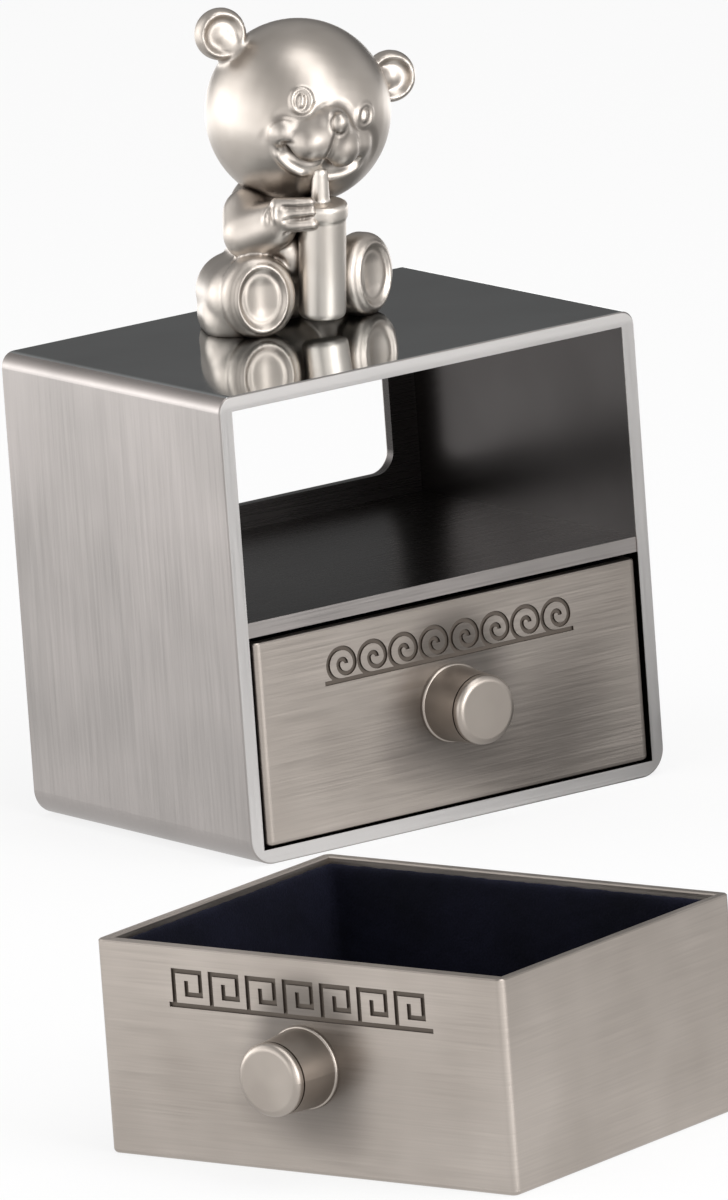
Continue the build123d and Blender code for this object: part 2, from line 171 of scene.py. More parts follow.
def brushedSheet(tree, point, lines, finish="sheet"):  # colour and roughness of brushed plate
    cloud = clouds(tree, point, brush["cloud"])
    colour = addNode(tree, "ShaderNodeMix", {0: cloud, 6: linear(pewterFinish[finish + "Dull"]),
                                             7: linear(pewterFinish[finish])}, data_type="RGBA").outputs[2]
    streak = addNode(tree, "ShaderNodeMapRange", {0: lines, 1: brush["streakLow"], 2: brush["streakHigh"],
                                                  3: brush["streakDull"], 4: brush["streakBright"]}).outputs[0]
    colour = addNode(tree, "ShaderNodeMix", {0: 1.0, 6: colour, 7: streak}, data_type="RGBA",
                     blend_type="MULTIPLY").outputs[2]
    usual = pewterFinish["sheetRoughness"]
    roughness = addNode(tree, "ShaderNodeMapRange", {0: lines, 1: noiseLow, 2: noiseHigh, 3: usual - brush["smoother"],
                                                     4: usual + brush["coarser"]}).outputs[0]
    return colour, roughness


# Brushed pewter plate over cast plate, sanded with a belt: even grey with fine straight scratches.
# The inside is painted dark, painted shade for the shaded bays, and the top is polished, so they mirror what stands on
# them.
def brushedPewterCabinet():
    material, tree, shader, point = newMaterial("brushedPewterCabinet", Metallic=1.0)
    inner = cabinet["halfWidth"] - cabinet["wall"]
    skin = pewterFinish["skin"]
    deep = cabinet["halfDepth"] - pewterFinish["rimDepth"]
    inside = boxMask(tree, point, (-inner - skin, -deep, cabinet["wall"] - skin),
                     (inner + skin, cabinet["halfDepth"] * 2, cabinet["height"] - cabinet["wall"] + skin))
    top = boxMask(tree, point, (-cabinet["halfWidth"], -deep, cabinet["height"] - pewterFinish["topDepth"]),
                  (cabinet["halfWidth"], deep, cabinet["height"] * 2))
    dark = addNode(tree, "ShaderNodeMath", {0: inside, 1: top}, operation="MAXIMUM").outputs[0]
    between = boxMask(tree, point, (-inner, -1, -1), (inner, 1, 1))
    lines = addNode(tree, "ShaderNodeMix", {0: between, 2: scratches(tree, point, "XY"),
                                            3: scratches(tree, point, "YZ")}).outputs[0]
    colour, roughness = brushedSheet(tree, point, lines)
    # the rounded upper edges are rougher, and painted darker, painted shade that tones down their bright reflection
    height = addNode(tree, "ShaderNodeSeparateXYZ", {0: point}).outputs[2]
    edge = addNode(tree, "ShaderNodeMapRange", {0: height, 1: cabinet["height"] - pewterFinish["edgeStart"],
                                                2: cabinet["height"] - pewterFinish["edgeFull"]},
                   interpolation_type="SMOOTHSTEP").outputs[0]
    colour = addNode(tree, "ShaderNodeMix", {0: edge, 6: colour, 7: linear(pewterFinish["edgeShade"])},
                     data_type="RGBA", blend_type="MULTIPLY").outputs[2]
    roughness = addNode(tree, "ShaderNodeMath", {0: edge, 1: pewterFinish["edgeRoughness"], 2: roughness},
                        operation="MULTIPLY_ADD").outputs[0]
    # the front rim is painted lighter: partly a finer brush, partly a painted reflection of the bright room in front
    rim = boxMask(tree, point, (-1, -1, -1), (1, skin - cabinet["halfDepth"], 1))
    colour = addNode(tree, "ShaderNodeMix", {0: rim, 6: colour, 7: linear(pewterFinish["rim"])},
                     data_type="RGBA").outputs[2]
    cloud = clouds(tree, point, brush["cloud"])
    # inside the bays a dark colour, painted shade; on the top the polished colour
    polished, shadedInside = (addNode(tree, "ShaderNodeMix", {
        0: cloud, 6: linear(pewterFinish[finish + "Dull"]), 7: linear(pewterFinish[finish])},
        data_type="RGBA").outputs[2] for finish in ("polished", "dark"))
    polished = addNode(tree, "ShaderNodeMix", {0: top, 6: shadedInside, 7: polished}, data_type="RGBA").outputs[2]
    colour = addNode(tree, "ShaderNodeMix", {0: dark, 6: colour, 7: polished}, data_type="RGBA").outputs[2]
    tree.links.new(colour, shader.inputs["Base Color"])
    mirror = addNode(tree, "ShaderNodeMix", {0: top, 2: pewterFinish["darkRoughness"],
                                             3: pewterFinish["polishedRoughness"]}).outputs[0]
    smear = addNode(tree, "ShaderNodeMath", {0: lines, 1: pewterFinish["polishedSmear"], 2: mirror},
                    operation="MULTIPLY_ADD").outputs[0]
    roughness = addNode(tree, "ShaderNodeMix", {0: dark, 2: roughness, 3: smear}).outputs[0]
    tree.links.new(roughness, shader.inputs["Roughness"])
    strength = addNode(tree, "ShaderNodeMix", {0: dark, 2: brush["sheetBump"], 3: brush["polishedBump"]}).outputs[0]
    bump = addNode(tree, "ShaderNodeBump", {"Height": lines, "Strength": strength, "Distance": brush["bumpHeight"]})
    tree.links.new(bump.outputs[0], shader.inputs["Normal"])
    return material


# The shelf and the back panel are of the same plate, painted dark as painted shade inside the bays, and bright where
# they face outwards
def shadedPewterPlate(name, brightBoxLow, brightBoxHigh):
    material, tree, shader, point = newMaterial(name, Metallic=1.0)
    bright = boxMask(tree, point, brightBoxLow, brightBoxHigh)
    lines = scratches(tree, point, "YZ")
    colour, roughness = brushedSheet(tree, point, lines)
    cloud = clouds(tree, point, brush["cloud"])
    # inside the bays a dark colour, painted shade
    shadedInside = addNode(tree, "ShaderNodeMix", {0: cloud, 6: linear(pewterFinish["darkDull"]),
                                                7: linear(pewterFinish["dark"])}, data_type="RGBA").outputs[2]
    colour = addNode(tree, "ShaderNodeMix", {0: bright, 6: shadedInside, 7: colour}, data_type="RGBA").outputs[2]
    tree.links.new(colour, shader.inputs["Base Color"])
    usual = pewterFinish["darkRoughness"]
    smear = addNode(tree, "ShaderNodeMapRange", {0: lines, 1: noiseLow, 2: noiseHigh, 3: usual,
                                                 4: usual + pewterFinish["darkSmear"]}).outputs[0]
    roughness = addNode(tree, "ShaderNodeMix", {0: bright, 2: smear, 3: roughness}).outputs[0]
    tree.links.new(roughness, shader.inputs["Roughness"])
    bump = addNode(tree, "ShaderNodeBump", {"Height": lines, "Strength": brush["plateBump"],
                                            "Distance": brush["bumpHeight"]})
    tree.links.new(bump.outputs[0], shader.inputs["Normal"])
    return material


# Painted shade with some tarnish on the fronts, round each knob and low at the right of the curl drawer: centre, full
# inside, gone outside, share of the colour left
tarnishAndShade = {
    "patch": 13 * mm, "wander": 2.0 * mm,
    "curl_drawer": [((0.4, 0, 12.4), 5.0, 12, 0.42), ((14, 0, 4), 1, 17, 0.55)],
    "tooth_drawer": [((1.2, 0, 12.2), 5.2, 11, 0.46)],
}


# Drawer plate: the same belt-sanded pewter, scratched level all round, with the engraving left dark
def brushedPewterDrawer(name):
    material, tree, shader, point = newMaterial("brushedPewter_" + name, Metallic=1.0)
    place = drawers[name]
    home = drawerPlace(name).inverted()
    point = addNode(tree, "ShaderNodeMapping", {"Vector": point, "Location": home.translation,
                                                "Rotation": (0, 0, -place["turn"])}).outputs[0]
    lines = scratches(tree, point, "Z")
    colour, roughness = brushedSheet(tree, point, lines, "front")
    # darker patches round the knob and low at the right: painted shade, with some tarnish
    flat = addNode(tree, "ShaderNodeVectorMath", {0: point, 1: (1, 0, 1)}, operation="MULTIPLY").outputs[0]
    patch = addNode(tree, "ShaderNodeTexNoise", {"Vector": point, "Scale": 1 / tarnishAndShade["patch"], "Detail": 0.0})
    patch = addNode(tree, "ShaderNodeMapRange", {0: patch.outputs[0], 1: noiseLow, 2: noiseHigh,
                                                 3: -tarnishAndShade["wander"], 4: tarnishAndShade["wander"]}).outputs[0]
    dull = 1.0
    for centre, inner, outer, shade in tarnishAndShade[name]:
        apart = addNode(tree, "ShaderNodeVectorMath", {0: flat, 1: Vector(centre) * mm}, operation="DISTANCE")
        apart = addNode(tree, "ShaderNodeMath", {0: apart.outputs["Value"], 1: patch}, operation="ADD").outputs[0]
        spot = addNode(tree, "ShaderNodeMapRange", {0: apart, 1: inner * mm, 2: outer * mm, 3: shade, 4: 1.0},
                       interpolation_type="SMOOTHSTEP").outputs[0]
        dull = addNode(tree, "ShaderNodeMath", {0: dull, 1: spot}, operation="MULTIPLY").outputs[0]
    behind = addNode(tree, "ShaderNodeSeparateXYZ", {0: point}).outputs[1]
    behind = addNode(tree, "ShaderNodeMath", {0: behind, 1: tray["bandDepth"] * 2}, operation="GREATER_THAN").outputs[0]
    dull = addNode(tree, "ShaderNodeMath", {0: dull, 1: behind}, operation="MAXIMUM").outputs[0]
    colour = addNode(tree, "ShaderNodeMix", {0: 1.0, 6: colour, 7: dull}, data_type="RGBA",
                     blend_type="MULTIPLY").outputs[2]
    bandTop = tray["height"] - tray["bandBelowTop"]
    skin = pewterFinish["engravedSkin"]
    margin = pewterFinish["engravedMargin"]
    engraved = boxMask(tree, point, (-tray["width"], skin, bandTop - tray["bandHeight"] - skin),
                       (tray["width"], tray["bandDepth"] + skin, bandTop + skin))
    front = boxMask(tree, point, (-tray["width"] / 2 + margin, -margin, margin),
                    (tray["width"] / 2 - margin, margin, tray["height"] - margin))
    engraved = addNode(tree, "ShaderNodeMath", {0: engraved, 1: front}, operation="MULTIPLY").outputs[0]
    colour = addNode(tree, "ShaderNodeMix", {0: engraved, 6: colour, 7: linear(pewterFinish["engraved"])},
                     data_type="RGBA").outputs[2]
    tree.links.new(colour, shader.inputs["Base Color"])
    roughness = addNode(tree, "ShaderNodeMix", {0: engraved, 2: roughness, 3: pewterFinish["engravedRoughness"]})
    tree.links.new(roughness.outputs[0], shader.inputs["Roughness"])
    bump = addNode(tree, "ShaderNodeBump", {"Height": lines, "Strength": brush["sheetBump"],
                                            "Distance": brush["bumpHeight"]})
    tree.links.new(bump.outputs[0], shader.inputs["Normal"])
    return material


# Cast pewter, tumbled to a satin: warm silver with a fine even grain, and tarnish and painted shade left in the creases
satin = {
    # the bottle is a lighter copy of the bear's pewter, a painted highlight, and the knobs a darker copy, painted shade
    "bear": ("#b0a8a0", "#c6beb6"), "bottle": ("#d6cec5", "#e6dfd7"), "knob": ("#a89f97", "#beb5ac"),
    "cloud": 7 * mm, "roughness": 0.36, "duller": 0.05, "shinier": 0.03,
    "tarnishAndShade": "#6a615a", "crease": 1.1 * mm, "creaseFull": 0.25, "creaseGone": 0.7,
    "grain": 0.12 * mm, "grainBump": 0.06, "bumpHeight": 0.02 * mm,
}


def satinCastPewter(name, dull, bright):
    material, tree, shader, point = newMaterial(name, Metallic=1.0)
    cloud = clouds(tree, point, satin["cloud"])
    colour = addNode(tree, "ShaderNodeMix", {0: cloud, 6: linear(dull), 7: linear(bright)}, data_type="RGBA").outputs[2]
    # the creases go dark from ambient occlusion and carved lines: painted shade, with tarnish
    crease = addNode(tree, "ShaderNodeAmbientOcclusion", {"Distance": satin["crease"]}, samples=8)
    unshaded = addNode(tree, "ShaderNodeMapRange", {0: crease.outputs["AO"], 1: satin["creaseFull"],
                                                 2: satin["creaseGone"]}).outputs[0]
    carved = addNode(tree, "ShaderNodeAttribute", attribute_name="tarnishAndShade").outputs["Fac"]
    unshaded = addNode(tree, "ShaderNodeMath", {0: unshaded, 1: carved}, operation="SUBTRACT", use_clamp=True).outputs[0]
    colour = addNode(tree, "ShaderNodeMix", {0: unshaded, 6: linear(satin["tarnishAndShade"]), 7: colour}, data_type="RGBA")
    tree.links.new(colour.outputs[2], shader.inputs["Base Color"])
    roughness = addNode(tree, "ShaderNodeMapRange", {0: cloud, 3: satin["roughness"] + satin["duller"],
                                                     4: satin["roughness"] - satin["shinier"]}).outputs[0]
    tree.links.new(roughness, shader.inputs["Roughness"])
    grain = addNode(tree, "ShaderNodeTexNoise", {"Vector": point, "Scale": 1 / satin["grain"], "Detail": 2.0})
    bump = addNode(tree, "ShaderNodeBump", {"Height": grain.outputs[0], "Strength": satin["grainBump"],
                                            "Distance": satin["bumpHeight"]})
    tree.links.new(bump.outputs[0], shader.inputs["Normal"])
    return material


# Zinc-plated steel screws: bright cold grey
screwPlate = {"dull": "#8f9294", "bright": "#b9bcbe", "cloud": 1.5 * mm, "roughness": 0.3}


def platedScrewSteel():
    material, tree, shader, point = newMaterial("platedScrewSteel", Metallic=1.0, Roughness=screwPlate["roughness"])
    cloud = clouds(tree, point, screwPlate["cloud"])
    colour = addNode(tree, "ShaderNodeMix", {0: cloud, 6: linear(screwPlate["dull"]), 7: linear(screwPlate["bright"])},
                     data_type="RGBA")
    tree.links.new(colour.outputs[2], shader.inputs["Base Color"])
    return material


# Cotton velvet in a navy that is nearly black: a short soft pile, paler where it is brushed over
velvet = {
    "colour": "#0a0b15", "brushed": "#131422", "stroke": 9 * mm, "roughness": 0.95, "specular": 0.15,
    "sheen": "#363b5c", "sheenWeight": 0.35, "sheenRoughness": 0.4,
    "tuft": 0.22 * mm, "tuftLow": 0.35, "tuftHigh": 0.75, "fleckDark": 0.75, "fleckPale": 1.35,
    "bump": 0.6, "bumpHeight": 0.15 * mm,
}


def navyVelvet():
    material, tree, shader, point = newMaterial(
        "navyVelvet", Roughness=velvet["roughness"], Sheen_Weight=velvet["sheenWeight"],
        Sheen_Roughness=velvet["sheenRoughness"], Sheen_Tint=linear(velvet["sheen"]),
        Specular_IOR_Level=velvet["specular"])
    stroke = clouds(tree, point, velvet["stroke"])
    tuft = addNode(tree, "ShaderNodeTexNoise", {"Vector": point, "Scale": 1 / velvet["tuft"], "Detail": 2.0})
    fleck = addNode(tree, "ShaderNodeMapRange", {0: tuft.outputs[0], 1: velvet["tuftLow"], 2: velvet["tuftHigh"],
                                                 3: velvet["fleckDark"], 4: velvet["fleckPale"]}).outputs[0]
    colour = addNode(tree, "ShaderNodeMix", {0: stroke, 6: linear(velvet["colour"]), 7: linear(velvet["brushed"])},
                     data_type="RGBA").outputs[2]
    colour = addNode(tree, "ShaderNodeMix", {0: 1.0, 6: colour, 7: fleck}, data_type="RGBA", blend_type="MULTIPLY")
    tree.links.new(colour.outputs[2], shader.inputs["Base Color"])
    bump = addNode(tree, "ShaderNodeBump", {"Height": tuft.outputs[0], "Strength": velvet["bump"],
                                            "Distance": velvet["bumpHeight"]})
    tree.links.new(bump.outputs[0], shader.inputs["Normal"])
    return material


satinPewter = satinCastPewter("satinCastPewter", *satin["bear"])
knobPewter = satinCastPewter("satinTurnedPewter", *satin["knob"])
bottlePewter = satinCastPewter("satinBottlePewter", *satin["bottle"])
screwSteel = platedScrewSteel()
velvetCloth = navyVelvet()
finishes = {
    "cabinet_shell": brushedPewterCabinet(),
    "cabinet_shelf": shadedPewterPlate("shadedShelf", (-1, -1, -1),
                                          (1, pewterFinish["shelfRim"] - cabinet["halfDepth"], 1)),
    "back_panel": shadedPewterPlate("shadedBackPanel",
                                       (-1, cabinet["halfDepth"] - pewterFinish["panelRim"], -1), (1, 1, 1)),
    "bear_figure": satinPewter, "bear_bottle": bottlePewter, "bear_screws": screwSteel,
}
for name in drawers:
    finishes[name + "_tray"] = brushedPewterDrawer(name)
    finishes[name + "_knob"] = finishes[name + "_knob_collar"] = knobPewter
    finishes[name + "_knob_screw"] = screwSteel
    finishes[name + "_floor_lining"] = finishes[name + "_wall_lining"] = velvetCloth
for node, material in finishes.items():
    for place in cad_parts[node].material_slots:
        place.material = material
print("finishes on:", len(finishes), "nodes")

# Bear and bottle, in millimetres about the middle of the bear's seat, scaled to metres at the end
bear = {
    "seat": (1.7, 0, 55.55), "voxel": 0.21, "coarseFirst": 1.25, "blend": 12,
    "head": (3.0, 7.2, 24.9), "headRadius": 11.0,
    "faceTurn": radians(-15), "faceTilt": radians(17), "earTurn": radians(-12), "earTilt": radians(21),
    "leftCheek": ((-4.7, -8.6, -1.85), (2.3, 2.2, 2.15)), "rightCheek": ((4.5, -8.2, -1.9), (2.0, 2.1, 2.0)),
    "snout": (0, -9.0, -1.4), "snoutRadii": (4.2, 3.9, 3.4),
    "lobe": (1.95, -10.2, -2.35), "lobeRadii": (2.35, 2.5, 2.5),
    "bridge": ((0.1, -9.3, 0.9), (0.1, -11.2, 0.1), 2.0, 2.1),
    "nose": (0.25, -12.9, 0.65), "noseRadii": (1.05, 0.9, 1.25),
    "leftEar": (-11.95, 0.9, 6.55), "leftEarTurn": radians(-7),
    "rightEar": (10.7, 0.9, 6.6), "rightEarTurn": radians(-6),
    "earSize": 0.97, "earRoot": 0.72, "earRootRadii": (1.9, 2.5), "earRootBehind": (0, 0.9, 0),
    "leftEye": (-3.9, 2.15), "rightEye": (4.4, 1.75), "rightEyeClear": 0.6,
    "eyeRing": (1.1, 1.35), "eyeInner": 0.6, "pupil": (0.4, -0.5), "noseRing": 1.12,
    "torso": [  # balls: seat, belly, tummy out to the bottle, chest
        ((0, 10.6, 5.6), (6.6, 6.2, 5.8)), ((-0.6, 8.0, 9.9), (6.2, 6.0, 5.2)),
        ((-1.3, 5.6, 9.0), (3.9, 3.9, 3.7)), ((0, 9.2, 13.4), (5.6, 5.4, 5.0)),
    ],
    "neck": ((0.8, 8.8, 14.5), (1.8, 7.8, 18.0), 4.4, 3.9),
    "arms": [  # the near one bent round to the bottle, then the far one behind it
        ((-4.7, 7.8, 13.9), (-6.1, 5.7, 12.0), 3.1, 3.3), ((-6.1, 5.7, 12.0), (-4.9, 2.6, 13.2), 3.3, 2.9),
        ((4.2, 8.8, 14.0), (4.7, 8.4, 10.8), 2.5, 2.3), ((4.7, 8.4, 10.8), (2.3, 4.2, 12.4), 2.3, 1.9),
    ],
    "palm": ((-4.7, 1.2, 14.3), (2.1, 2.1, 2.3)),
    "fingers": [(16.1, 0.66), (14.9, 0.76), (13.45, 0.9)],  # height and radius
    "knuckles": [(-5.5, 0.9, 0, 1.05), (-3.9, -0.9, 0, 1), (-2.5, -1.9, -0.05, 0.9)],  # place, share of the radius
    "fingerGaps": [(15.54, -0.2), (14.25, -0.25), (12.65, -0.3)],  # height and depth
    "fingerGapLine": [(-5.3, 0.3), (-3.9, -1.6), (-2.5, -2.7)],
    "armCrease": [(-8.0, 7.7, 12.3), (-7.2, 6.5, 10.2), (-6.1, 5.5, 9.1), (-4.6, 4.3, 8.6), (-3.7, 3.4, 7.8)],
    "wristFolds": [
        [(-5.9, 0.6, 16.2), (-6.2, 0.4, 15.1), (-5.9, 0.6, 13.9)],
        [(-6.6, 1.3, 16.2), (-7.0, 1.2, 15.1), (-6.7, 1.4, 13.7)],
    ],
    "wristCrease": [(-6.25, 0.9, 16.1), (-6.6, 0.8, 15.1), (-6.3, 0.9, 13.8)],
    "leftFoot": (-7.75, 1.9, 4.95), "rightFoot": (8.5, 1.9, 4.95),
    "footWidth": 4.5, "footHeight": 5.0, "footTurn": radians(18),
    "soleRing": (3.0, 3.85), "soleInner": 0.8, "soleLine": [(0, 1.2), (0, -1.2)],
    "hip": (5.3, 11.0, 4.5), "hipRadius": 4.6, "ankle": (7.5, 6.6, 4.7), "ankleRadius": 4.2,
    "underHip": (5.3, 11.0, 2.0), "underAnkle": (7.3, 8.0, 2.2),
}
# Profiles turned about Y, as radius and depth; the front is at -Y
earProfile = [(0, 2.1), (1.6, 2.0), (2.5, 1.5), (3.05, 0.7), (3.25, -0.1), (3.1, -0.9), (2.85, -1.4), (2.6, -1.6),
              (2.35, -1.5), (2.1, -1.1), (1.75, -0.85), (1.3, -0.85), (0.7, -1.05), (0, -1.15)]
soleProfile = [(0, 4.2), (0.6, 4.2), (0.9, 3.6), (1.0, 2.6), (1.0, 1.3), (0.98, 0.8), (0.93, 0.4), (0.85, 0.15),
               (0.72, 0.02), (0.5, 0), (0.25, 0), (0, 0)]  # the radius is a share of the outline
bottle = {
    "foot": (1.7, 1.0, 57.15), "lean": radians(7), "voxel": 0.17,
    "profile": [(0, 0), (1.2, 0), (2.2, 0.02), (2.6, 0.2), (2.8, 0.6), (2.8, 6), (2.8, 11.8), (2.76, 12.0),
                (2.86, 12.15), (3.0, 12.3), (3.02, 12.8), (3.0, 13.6), (2.85, 13.95), (2.4, 14.1), (1.4, 14.15),
                (0, 14.2)],
    "teat": ((-0.3, 0, 13.4), (-0.3, 0.1, 17.6)), "teatRadii": (1.15, 0.98),
}
mouth = {  # lines across and up on the face
    "smile": [(-5.1, -3.1), (-4.5, -3.75), (-3.6, -4.35), (-2.5, -4.8), (-1.2, -4.85), (-0.4, -4.5), (0, -4.1)],
    "tick": [(-5.5, -3.2), (-4.8, -2.95), (-4.1, -2.8)],
    "lip": [(-5.6, -4.0), (-4.7, -4.9), (-3.5, -5.7), (-2.0, -6.2), (-0.9, -6.3)],
    "philtrum": [(0, -0.6), (0, -1.6), (0, -2.8), (0, -4.1)],
    "outline": [(-6.9, -3.6), (-7.0, -1.9), (-6.1, -0.2), (-4.5, 0.25), (-3.1, 0.8), (-2.3, 1.7), (-1.3, 2.5),
                (0, 2.75)],
}
# How each line is carved: reach to its sides, height (negative is cut in), taper at its ends, tarnish and painted shade
# left in it
carving = {
    "outline": (0.9, -0.2, 0.3, 0.25), "lip": (0.8, 0.5, 0.3, 0), "smile": (0.75, -0.5, 0.25, 1.0),
    "tick": (0.5, -0.15, 0.5, 0.8), "philtrum": (0.5, -0.28, 0.3, 0.4), "noseRing": (0.42, -0.18, 0, 0.5),
    "eyeRing": (0.45, 0.3, 0, 0), "eyeInner": (0.3, -0.05, 0, 0.45), "pupil": (0.62, 0.4, 0, 0),
    "armCrease": (0.6, -0.35, 0.3, 0.8), "wristFold": (0.5, 0.28, 0.5, 0), "wristCrease": (0.35, -0.1, 0.4, 0.5),
    "fingerGap": (0.38, 1, 0.2, 0.8),  # times the depth of each gap
    "soleLine": (2.5, -0.55, 0, 0), "soleRing": (0.45, 0.34, 0, 0), "soleInner": (0.5, -0.16, 0, 0.3),
}


def addBall(bm, centre, radii, place):
    bmesh.ops.create_uvsphere(bm, u_segments=40, v_segments=24, radius=1,
                              matrix=place @ Matrix.Translation(centre) @ Matrix.Diagonal((*radii, 1)))


def addLimb(bm, start, end, startRadius, endRadius, place):  # two balls and the cone between them
    start, end = Vector(start), Vector(end)
    along = (end - start).to_track_quat("Z", "Y").to_matrix().to_4x4()
    bmesh.ops.create_cone(bm, cap_ends=True, segments=40, radius1=startRadius, radius2=endRadius,
                          depth=(end - start).length, matrix=place @ Matrix.Translation((start + end) / 2) @ along)
    addBall(bm, start, [startRadius] * 3, place)
    addBall(bm, end, [endRadius] * 3, place)


def addTurned(bm, profile, place, steps=64):  # a profile of (radius, depth) spun about the Y axis
    ring = [bm.verts.new((radius, depth, 0)) for radius, depth in profile]
    edges = [bm.edges.new(pair) for pair in zip(ring, ring[1:])]
    bmesh.ops.spin(bm, geom=ring + edges, cent=(0, 0, 0), axis=(0, 1, 0), angle=2 * pi, steps=steps, use_merge=True)
    around = {vert for edge in edges for face in edge.link_faces for vert in face.verts}
    todo = list(around)
    while todo:
        for edge in todo.pop().link_edges:
            for vert in edge.verts:
                if vert not in around:
                    around.add(vert)
                    todo.append(vert)
    around = [vert for vert in around if vert.is_valid]
    bmesh.ops.remove_doubles(bm, verts=around, dist=1e-4)
    around = [vert for vert in around if vert.is_valid]
    bmesh.ops.transform(bm, matrix=place, verts=around)
    bmesh.ops.recalc_face_normals(bm, faces=list({face for vert in around for face in vert.link_faces}))


def fuse(bm, voxel):  # one closed skin round every overlapping form
    mesh = bpy.data.meshes.new("fusing")
    bm.to_mesh(mesh)
    bm.clear()
    lump = bpy.data.objects.new("fusing", mesh)
    scene.collection.objects.link(lump)
    skin = lump.modifiers.new("skin", "REMESH")
    skin.mode, skin.voxel_size = "VOXEL", voxel
    made = bpy.data.meshes.new_from_object(lump.evaluated_get(bpy.context.evaluated_depsgraph_get()))
    bm.from_mesh(made)
    bpy.data.objects.remove(lump)
    bpy.data.meshes.remove(mesh)
    bpy.data.meshes.remove(made)


def relax(bm, times, factor=0.5):
    for turn in range(times):
        bmesh.ops.smooth_vert(bm, verts=bm.verts, factor=factor, use_axis_x=True, use_axis_y=True, use_axis_z=True)


def smoothLine(points, spacing=0.12):  # a curve through the points, sampled evenly enough to carve along
    points = [Vector(point) for point in points]
    if len(points) == 1:
        return points
    ends = [points[0] * 2 - points[1]] + points + [points[-1] * 2 - points[-2]]
    line = []
    for a, b, c, d in zip(ends, ends[1:], ends[2:], ends[3:]):
        count = max(2, int((c - b).length / spacing))
        for step in range(count):
            t = step / count
            line.append(0.5 * (2 * b + (c - a) * t + (2 * a - 5 * b + 4 * c - d) * t ** 2
                               + (3 * b - a - 3 * c + d) * t ** 3))
    return line + [points[-1]]


def stroke(points, kind, share=1):  # a line and the way that it is carved
    reach, height, taper, shadeAndTarnish = carving[kind]
    return points, reach, height * share, taper, shadeAndTarnish


def carve(bm, strokes):  # the skin moves in or out along each stroke
    layer = bm.verts.layers.float.get("tarnishAndShade") or bm.verts.layers.float.new("tarnishAndShade")
    bm.verts.ensure_lookup_table()
    bm.normal_update()
    tree = KDTree(len(bm.verts))
    for index, vert in enumerate(bm.verts):
        tree.insert(vert.co, index)
    tree.balance()
    moves = {}
    for points, reach, height, taper, shadeAndTarnish in strokes:
        line = smoothLine(points)
        near = {}
        for index, sample in enumerate(line):
            ends = min(index, len(line) - 1 - index) / max(1, len(line) - 1) * 2
            share = min(1, ends / taper) if taper else 1
            for place, vert, distance in tree.find_range(sample, reach):
                push = height * share * (1 - (distance / reach) ** 2) ** 2
                if abs(push) > abs(near.get(vert, 0)):
                    near[vert] = push
        for vert, push in near.items():
            moves[vert] = moves.get(vert, 0) + push
            # the crease darkens most along its line: painted shade, with tarnish
            dark = shadeAndTarnish * (push / height) ** 2
            bm.verts[vert][layer] = max(bm.verts[vert][layer], dark)
    pushes = [(bm.verts[vert], bm.verts[vert].normal * push) for vert, push in moves.items()]
    for vert, push in pushes:
        vert.co += push


def onFace(bm, place, outline, before=-30, facing=-0.4):  # where a line drawn on a plane before it lands on the skin
    tree = BVHTree.FromBMesh(bm)
    ahead = place.to_3x3() @ Vector((0, 1, 0))
    landed = [tree.ray_cast(place @ Vector((x, before, z)), ahead)[:2] for x, z in outline]
    return [point for point, normal in landed if point is not None and normal.dot(ahead) < facing]


def keepPiece(name, bm, material, slot, body, *replaced):  # to metres, smooth, with its finish, on its body
    bmesh.ops.transform(bm, matrix=Matrix.Scale(mm, 4), verts=bm.verts)
    for face in bm.faces:
        face.smooth = True
    mesh = bpy.data.meshes.new(name)
    bm.to_mesh(mesh)
    bm.free()
    mesh.materials.append(material)
    piece = bpy.data.objects.new(name, mesh)
    scene.collection.objects.link(piece)
    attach(piece, body)
    for node in replaced:
        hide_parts(node)
    print("made", name, "with", sum(len(face.vertices) - 2 for face in mesh.polygons), "triangles")


def both(points):  # a line and its mirror image
    return [points, [(-x, z) for x, z in points]]


def oval(x, z, wide, high, steps=24):  # a closed ring, across and up
    return [(x + wide * cos(turn * 2 * pi / steps), z + high * sin(turn * 2 * pi / steps)) for turn in range(steps + 1)]


